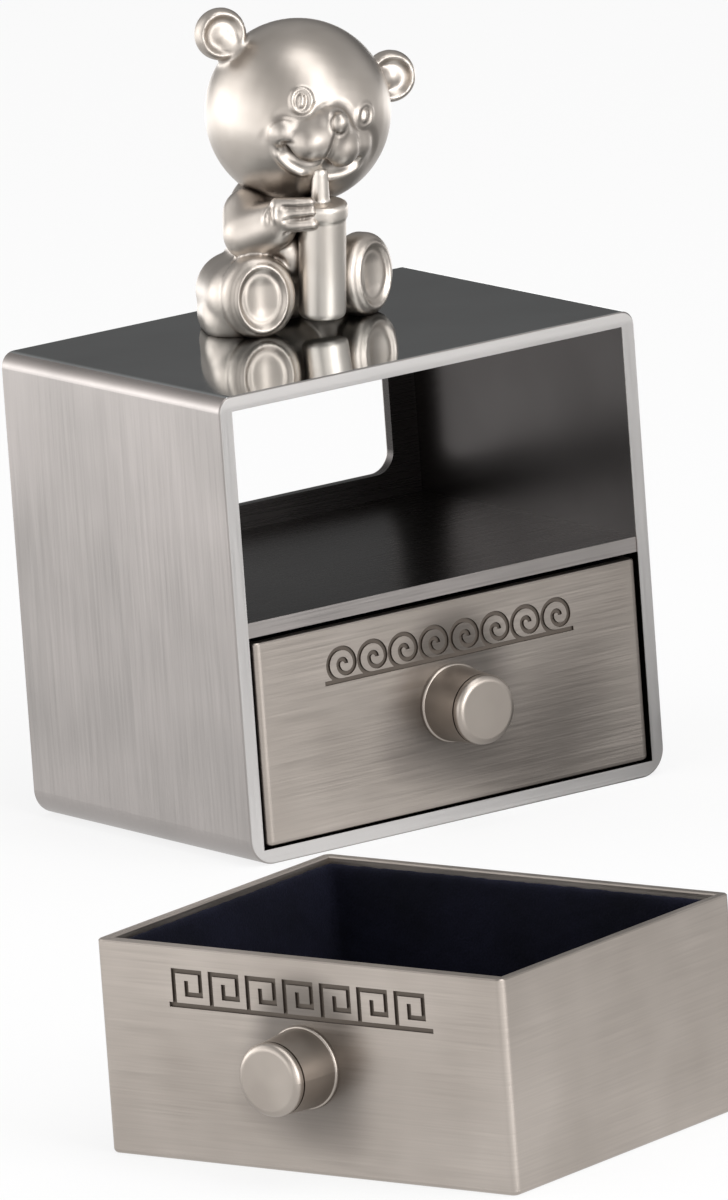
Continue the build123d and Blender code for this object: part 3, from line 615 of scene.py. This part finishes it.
def makeBearHead():
    bm = bmesh.new()
    seat = Matrix.Translation(bear["seat"])
    centre = seat @ Matrix.Translation(bear["head"])
    face = centre @ Matrix.Rotation(bear["faceTurn"], 4, "Z") @ Matrix.Rotation(bear["faceTilt"], 4, "Y")
    crown = centre @ Matrix.Rotation(bear["earTurn"], 4, "Z") @ Matrix.Rotation(bear["earTilt"], 4, "Y")
    addBall(bm, (0, 0, 0), [bear["headRadius"]] * 3, face)
    addBall(bm, bear["snout"], bear["snoutRadii"], face)
    addLimb(bm, *bear["bridge"], face)
    for cheek in ("leftCheek", "rightCheek"):
        addBall(bm, *bear[cheek], face)
    for side in (-1, 1):
        x, y, z = bear["lobe"]
        addBall(bm, (side * x, y, z), bear["lobeRadii"], face)
    for ear in ("leftEar", "rightEar"):
        behind = Vector(bear[ear]) + Vector(bear["earRootBehind"])
        addLimb(bm, behind, behind * bear["earRoot"], *bear["earRootRadii"], crown)
    fuse(bm, bear["voxel"] * bear["coarseFirst"])
    relax(bm, bear["blend"])
    for ear in ("leftEar", "rightEar"):
        addTurned(bm, earProfile, crown @ Matrix.Translation(bear[ear]) @ Matrix.Rotation(bear[ear + "Turn"], 4, "Z")
                  @ Matrix.Scale(bear["earSize"], 4))
    addBall(bm, bear["nose"], bear["noseRadii"], face)
    fuse(bm, bear["voxel"])
    relax(bm, 4)
    strokes = [stroke(onFace(bm, face, line), kind) for kind in ("outline", "lip", "smile")
               for line in both(mouth[kind])]
    strokes += [stroke(onFace(bm, face, mouth[kind]), kind) for kind in ("tick", "philtrum")]
    wide, high = bear["eyeRing"]
    inner = bear["eyeInner"]
    for (x, z), clear in ((bear["leftEye"], 1), (bear["rightEye"], bear["rightEyeClear"])):
        strokes.append(stroke(onFace(bm, face, oval(x, z, wide, high)), "eyeRing", clear))
        strokes.append(stroke(onFace(bm, face, oval(x, z, inner * wide, inner * high)), "eyeInner"))
        strokes.append(stroke(onFace(bm, face, [(x, z + rise) for rise in bear["pupil"]]), "pupil", clear))
    x, y, z = bear["nose"]
    wide, high = (size * bear["noseRing"] for size in (bear["noseRadii"][0], bear["noseRadii"][2]))
    strokes.append(stroke(onFace(bm, face, oval(x, z, wide, high)), "noseRing"))
    carve(bm, strokes)
    relax(bm, 1, 0.3)
    keepPiece("bearHead", bm, satinPewter, "satin_cast_pewter", "cabinet", "bear_figure")


def makeBearBody():
    bm = bmesh.new()
    seat = Matrix.Translation(bear["seat"])
    for centre, radii in bear["torso"]:
        addBall(bm, centre, radii, seat)
    addLimb(bm, *bear["neck"], seat)
    for side in (-1, 1):  # legs, each with a lower one that brings it straight down to the plate
        for ends in (("hip", "ankle"), ("underHip", "underAnkle")):
            hip, ankle = ((side * bear[end][0], *bear[end][1:]) for end in ends)
            addLimb(bm, hip, ankle, bear["hipRadius"], bear["ankleRadius"], seat)
    for arm in bear["arms"]:
        addLimb(bm, *arm, seat)
    addBall(bm, *bear["palm"], seat)
    fuse(bm, bear["voxel"] * bear["coarseFirst"])
    relax(bm, bear["blend"])
    for side, foot in ((-1, "leftFoot"), (1, "rightFoot")):
        addTurned(bm, soleProfile, seat @ Matrix.Translation(bear[foot])
                  @ Matrix.Rotation(side * bear["footTurn"], 4, "Z")
                  @ Matrix.Diagonal((bear["footWidth"], 1, bear["footHeight"], 1)))
    for height, radius in bear["fingers"]:  # round the bottle
        bends = [((x, y, height + rise), radius * share) for x, y, rise, share in bear["knuckles"]]
        for (start, startRadius), (end, endRadius) in zip(bends, bends[1:]):
            addLimb(bm, start, end, startRadius, endRadius, seat)
    fuse(bm, bear["voxel"])
    relax(bm, 2)
    skin = BVHTree.FromBMesh(bm)

    def skinLine(points):  # the nearest points on the skin
        return [skin.find_nearest(seat @ Vector(point))[0] for point in points]

    strokes = [stroke(skinLine(bear["armCrease"]), "armCrease")]
    strokes += [stroke(skinLine(line), "wristFold") for line in bear["wristFolds"]]
    strokes.append(stroke(skinLine(bear["wristCrease"]), "wristCrease"))
    for height, depth in bear["fingerGaps"]:
        strokes.append(stroke(skinLine([(x, y, height) for x, y in bear["fingerGapLine"]]), "fingerGap", depth))
    wide, high = bear["soleRing"]
    for side, foot in ((-1, "leftFoot"), (1, "rightFoot")):  # a hollow in the sole and a bead round it
        sole = seat @ Matrix.Translation(bear[foot]) @ Matrix.Rotation(side * bear["footTurn"], 4, "Z")
        strokes.append(stroke(onFace(bm, sole, bear["soleLine"]), "soleLine"))
        for size, kind in ((1, "soleRing"), (bear["soleInner"], "soleInner")):
            strokes.append(stroke(onFace(bm, sole, oval(0, 0, size * wide, size * high, 32)), kind))
    carve(bm, strokes)
    relax(bm, 1, 0.3)
    # flat where it sits
    bmesh.ops.bisect_plane(bm, geom=list(bm.verts) + list(bm.edges) + list(bm.faces),
                           plane_co=(0, 0, cabinet["height"] / mm), plane_no=(0, 0, -1), clear_outer=True)
    rim = [edge for edge in bm.edges if edge.is_boundary]
    bmesh.ops.holes_fill(bm, edges=rim, sides=0)
    bmesh.ops.triangulate(bm, faces=[face for face in bm.faces if len(face.verts) > 4])
    keepPiece("bearBody", bm, satinPewter, "satin_cast_pewter", "cabinet", "bear_figure")


def makeBearBottle():  # barrel, cap and teat, leaning back to the mouth
    bm = bmesh.new()
    place = Matrix.Translation(bottle["foot"]) @ Matrix.Rotation(bottle["lean"], 4, "X")
    addTurned(bm, bottle["profile"], place @ Matrix.Rotation(pi / 2, 4, "X"))
    addLimb(bm, *bottle["teat"], *bottle["teatRadii"], place)
    fuse(bm, bottle["voxel"])
    relax(bm, 2)
    keepPiece("bearBottle", bm, bottlePewter, "satin_cast_pewter", "cabinet", "bear_bottle")


makeBearHead()
makeBearBody()
makeBearBottle()
print("bear made")

# Velvet over card, glued inside each drawer: a pad on the floor and a band round the walls
lining = {
    "halfWidth": 26.5, "front": 1.6, "back": 41.4, "thickness": 1.2, "floor": 1.2, "pad": 1.2, "top": 23.8,
    "softEdge": 0.45, "gap": 0.05, "voxel": 0.45, "plush": 0.07, "ripple": 1.3, "crown": 0.35,
}


def plush(bm, amount, ripple):  # the uneven give of a pile on card
    bm.normal_update()
    for vert in bm.verts:
        rise = noise.noise(vert.co / ripple) + 0.5 * noise.noise(vert.co / ripple * 3)
        vert.co += vert.normal * amount * rise


def liningBlock(low, high):  # a slab between two heights, on the lining's plan
    bm = bmesh.new()
    depth = lining["back"] - lining["front"] - 2 * lining["gap"]
    width = 2 * (lining["halfWidth"] - lining["gap"])
    middle = Vector((0, (lining["back"] + lining["front"]) / 2, (low + high) / 2))
    bmesh.ops.create_cube(bm, size=1,
                          matrix=Matrix.Translation(middle) @ Matrix.Diagonal((width, depth, high - low, 1)))
    return bm


def soften(bm):  # round every edge and lay the pile on
    bmesh.ops.bevel(bm, geom=bm.edges, offset=lining["softEdge"], segments=4, profile=0.5, affect="EDGES", material=-1)
    fuse(bm, lining["voxel"])
    relax(bm, 2)
    plush(bm, lining["plush"], lining["ripple"])


def makeWallLining():
    bm = liningBlock(lining["floor"] + lining["pad"], lining["top"])
    ends = [face for face in bm.faces if abs(face.normal.z) > 0.9]
    bmesh.ops.inset_individual(bm, faces=ends, thickness=lining["thickness"] - 2 * lining["gap"])
    holes = [face for face in bm.faces if abs(face.normal.z) > 0.9 and not any(len(edge.link_faces) < 2 or any(
        abs(other.normal.z) < 0.1 for other in edge.link_faces) for edge in face.edges)]
    edges = [edge for face in holes for edge in face.edges]
    bmesh.ops.delete(bm, geom=holes, context="FACES_ONLY")
    bmesh.ops.bridge_loops(bm, edges=edges)
    bmesh.ops.recalc_face_normals(bm, faces=bm.faces)
    soften(bm)
    return bm


def makeFloorLining():
    low = lining["floor"]
    bm = liningBlock(low + lining["gap"], low + lining["pad"])
    soften(bm)
    top = max(vert.co.z for vert in bm.verts)
    middle, halfDepth = (lining["back"] + lining["front"]) / 2, (lining["back"] - lining["front"]) / 2
    for vert in bm.verts:  # a slight crown, held down under the band
        if vert.co.z > (low + top) / 2:
            across = 1 - (vert.co.x / lining["halfWidth"]) ** 2
            along = 1 - ((vert.co.y - middle) / halfDepth) ** 2
            vert.co.z += lining["crown"] * max(0, across * along) ** 0.5
    return bm


for part, build in (("WallLining", makeWallLining), ("FloorLining", makeFloorLining)):
    made = build()
    for drawer in drawers:
        bm = made.copy()
        place = Matrix.Scale(1 / mm, 4) @ drawerPlace(drawer) @ Matrix.Scale(mm, 4)
        bmesh.ops.transform(bm, matrix=place, verts=bm.verts)
        node = drawer + ("_wall_lining" if part == "WallLining" else "_floor_lining")
        keepPiece(drawer.split("_")[0] + part, bm, velvetCloth, "navy_velvet", drawer, node)
    made.free()
print("linings made")

# Studio: a pale floor and room that metal sees as a bright horizon, a dark card, and four soft lights
studio = {
    "floor": 3.0, "paper": (0.86, 0.86, 0.86, 1), "paperRoughness": 0.9, "camera": 1.0, "cameraShare": 0.8,
    "room": 0.7, "above": 0.48, "aboveFrom": 0.2, "aboveFull": 0.65,
    "horizon": 1.6, "behind": 0.19, "viewAway": (0.576, 0.817, 0), "behindFrom": 0.45, "behindFull": 0.88,
    "window": (-0.42, 0.9, -0.1), "windowShine": 2.2, "windowFrom": 0.88, "windowFull": 0.98,
    "rightWall": 0.42, "rightWallFrom": 0.3, "rightWallFull": 0.9,
    "mirrored": 1.0, "near": 0.84, "right": 0.33, "rightFrom": -0.01, "rightFull": 0.085,
    "rearFrom": -0.02, "rearFull": 0.08, "farther": 2.6, "fartherFrom": 0.25, "fartherFull": 0.42,
    "corner": (0.045, -0.035, 0), "cornerShade": 0.2, "cornerReach": 0.07,
    "cardAngle": radians(-148), "cardShade": 0.35, "cardHalf": 0.06, "cardGone": 0.26, "aim": (0, 0, 0.04),
}
softLights = {  # width and length, place, brightness
    "leftSoftbox": ((0.7, 0.8), (-0.76, 0.1, 0.4), 0.32),
    "backSoftbox": ((0.5, 0.8), (-0.6, 0.55, 0.4), 1.05),
    "frontSoftbox": ((0.6, 0.26), (0.1, -0.8, 0.13), 2.2),
    "overheadStrip": ((0.36, 1.5), (0.03, -0.5, 0.54), 2.3),
}


def cardShade(tree, parts):  # a dark card stands to the left of the camera: 1 beside it, less behind it
    angle = addNode(tree, "ShaderNodeMath", {0: parts.outputs[1], 1: parts.outputs[0]}, operation="ARCTAN2").outputs[0]
    angle = addNode(tree, "ShaderNodeMath", {0: angle, 1: studio["cardAngle"]}, operation="SUBTRACT").outputs[0]
    angle = addNode(tree, "ShaderNodeMath", {0: angle}, operation="ABSOLUTE").outputs[0]
    return addNode(tree, "ShaderNodeMapRange", {0: angle, 1: studio["cardHalf"], 2: studio["cardGone"],
                                                3: studio["cardShade"], 4: 1.0},
                   interpolation_type="SMOOTHSTEP").outputs[0]


def makeWorld():
    world = bpy.data.worlds.new("studioRoom")
    scene.world = world
    world.use_nodes = True
    tree = world.node_tree
    back = tree.nodes["Background"]
    path = addNode(tree, "ShaderNodeLightPath")
    direction = addNode(tree, "ShaderNodeTexCoord").outputs["Generated"]
    parts = addNode(tree, "ShaderNodeSeparateXYZ", {0: direction})
    # metal sees a bright horizon, a darker ceiling and a dark wall behind the right side
    away = addNode(tree, "ShaderNodeVectorMath", {0: direction, 1: studio["viewAway"]}, operation="DOT_PRODUCT")
    level = addNode(tree, "ShaderNodeMapRange", {0: away.outputs["Value"], 1: studio["behindFrom"],
                                                 2: studio["behindFull"], 3: studio["horizon"], 4: studio["behind"]},
                    interpolation_type="SMOOTHSTEP").outputs[0]
    level = addNode(tree, "ShaderNodeMath", {0: level, 1: cardShade(tree, parts)}, operation="MULTIPLY").outputs[0]
    bright = addNode(tree, "ShaderNodeVectorMath", {0: direction, 1: studio["window"]}, operation="DOT_PRODUCT")
    bright = addNode(tree, "ShaderNodeMapRange", {0: bright.outputs["Value"], 1: studio["windowFrom"],
                                                  2: studio["windowFull"], 3: 1.0, 4: studio["windowShine"]},
                     interpolation_type="SMOOTHSTEP").outputs[0]
    level = addNode(tree, "ShaderNodeMath", {0: level, 1: bright}, operation="MULTIPLY").outputs[0]
    turned = addNode(tree, "ShaderNodeMapRange", {0: parts.outputs[0], 1: studio["rightWallFrom"],
                                                  2: studio["rightWallFull"], 3: 1.0,
                                                  4: studio["rightWall"]}).outputs[0]
    level = addNode(tree, "ShaderNodeMath", {0: level, 1: turned}, operation="MULTIPLY").outputs[0]
    high = addNode(tree, "ShaderNodeMapRange", {0: parts.outputs[2], 1: studio["aboveFrom"], 2: studio["aboveFull"]},
                   interpolation_type="SMOOTHSTEP")
    level = addNode(tree, "ShaderNodeMix", {0: high.outputs[0], 2: level, 3: studio["above"]}).outputs[0]
    level = addNode(tree, "ShaderNodeMix", {0: path.outputs["Is Glossy Ray"], 2: studio["room"], 3: level}).outputs[0]
    level = addNode(tree, "ShaderNodeMix", {0: path.outputs["Is Camera Ray"], 2: level, 3: studio["camera"]}).outputs[0]
    tree.links.new(level, back.inputs["Strength"])
    back.inputs["Color"].default_value = (1, 1, 1, 1)


def makeFloor():
    bm = bmesh.new()
    bmesh.ops.create_grid(bm, x_segments=1, y_segments=1, size=studio["floor"])
    mesh = bpy.data.meshes.new("studioFloor")
    bm.to_mesh(mesh)
    bm.free()
    floor = bpy.data.objects.new("studioFloor", mesh)
    scene.collection.objects.link(floor)
    material, tree, shader, point = newMaterial("palePaper", Roughness=studio["paperRoughness"],
                                                Base_Color=studio["paper"])
    path = addNode(tree, "ShaderNodeLightPath")
    parts = addNode(tree, "ShaderNodeSeparateXYZ", {0: point})
    # metal sees the floor glowing, painted light: dark at the right, a painted shadow by the near corner, and bright
    # farther off
    side = addNode(tree, "ShaderNodeMapRange", {0: parts.outputs[0], 1: studio["rightFrom"], 2: studio["rightFull"],
                                                3: studio["near"], 4: studio["right"]},
                   interpolation_type="SMOOTHSTEP").outputs[0]
    rear = addNode(tree, "ShaderNodeMapRange", {0: parts.outputs[1], 1: studio["rearFrom"],
                                                2: studio["rearFull"]}).outputs[0]
    side = addNode(tree, "ShaderNodeMix", {0: rear, 2: side, 3: studio["near"]}).outputs[0]
    apart = addNode(tree, "ShaderNodeVectorMath", {0: point, 1: studio["corner"]}, operation="DISTANCE")
    near = addNode(tree, "ShaderNodeMapRange", {0: apart.outputs["Value"], 1: 0.0, 2: studio["cornerReach"],
                                                3: studio["cornerShade"], 4: 1.0},
                   interpolation_type="SMOOTHSTEP").outputs[0]
    side = addNode(tree, "ShaderNodeMath", {0: side, 1: near}, operation="MULTIPLY").outputs[0]
    apart = addNode(tree, "ShaderNodeVectorMath", {0: point}, operation="LENGTH").outputs["Value"]
    far = addNode(tree, "ShaderNodeMapRange", {0: apart, 1: studio["fartherFrom"], 2: studio["fartherFull"]},
                  interpolation_type="SMOOTHSTEP").outputs[0]
    away = addNode(tree, "ShaderNodeMath", {0: cardShade(tree, parts), 1: studio["farther"]}, operation="MULTIPLY")
    away = addNode(tree, "ShaderNodeMix", {0: far, 2: 1.0, 3: away.outputs[0]}).outputs[0]
    side = addNode(tree, "ShaderNodeMath", {0: side, 1: away}, operation="MULTIPLY").outputs[0]
    bright = addNode(tree, "ShaderNodeMix", {0: path.outputs["Is Camera Ray"], 2: side, 3: studio["camera"]}).outputs[0]
    glow = addNode(tree, "ShaderNodeEmission", {"Color": (1, 1, 1, 1), "Strength": bright})
    share = addNode(tree, "ShaderNodeMath", {0: path.outputs["Is Glossy Ray"], 1: studio["mirrored"]},
                    operation="MULTIPLY")
    share = addNode(tree, "ShaderNodeMath", {0: path.outputs["Is Camera Ray"], 1: studio["cameraShare"],
                                            2: share.outputs[0]},
                    operation="MULTIPLY_ADD")
    mix = addNode(tree, "ShaderNodeMixShader", {0: share.outputs[0], 1: shader.outputs[0], 2: glow.outputs[0]})
    tree.links.new(mix.outputs[0], tree.nodes["Material Output"].inputs["Surface"])
    mesh.materials.append(material)


def addSoftLight(name, size, place, brightness):
    light = bpy.data.lights.new(name, "AREA")
    wide, long = size
    light.shape = "RECTANGLE"
    light.size, light.size_y = wide, long
    light.energy = brightness * pi * wide * long
    lamp = bpy.data.objects.new(name, light)
    toAim = Vector(studio["aim"]) - Vector(place)
    lamp.matrix_world = Matrix.Translation(place) @ toAim.to_track_quat("-Z", "Y").to_matrix().to_4x4()
    scene.collection.objects.link(lamp)


makeWorld()
makeFloor()
for name, (size, place, brightness) in softLights.items():
    addSoftLight(name, size, place, brightness)
print("studio lit")
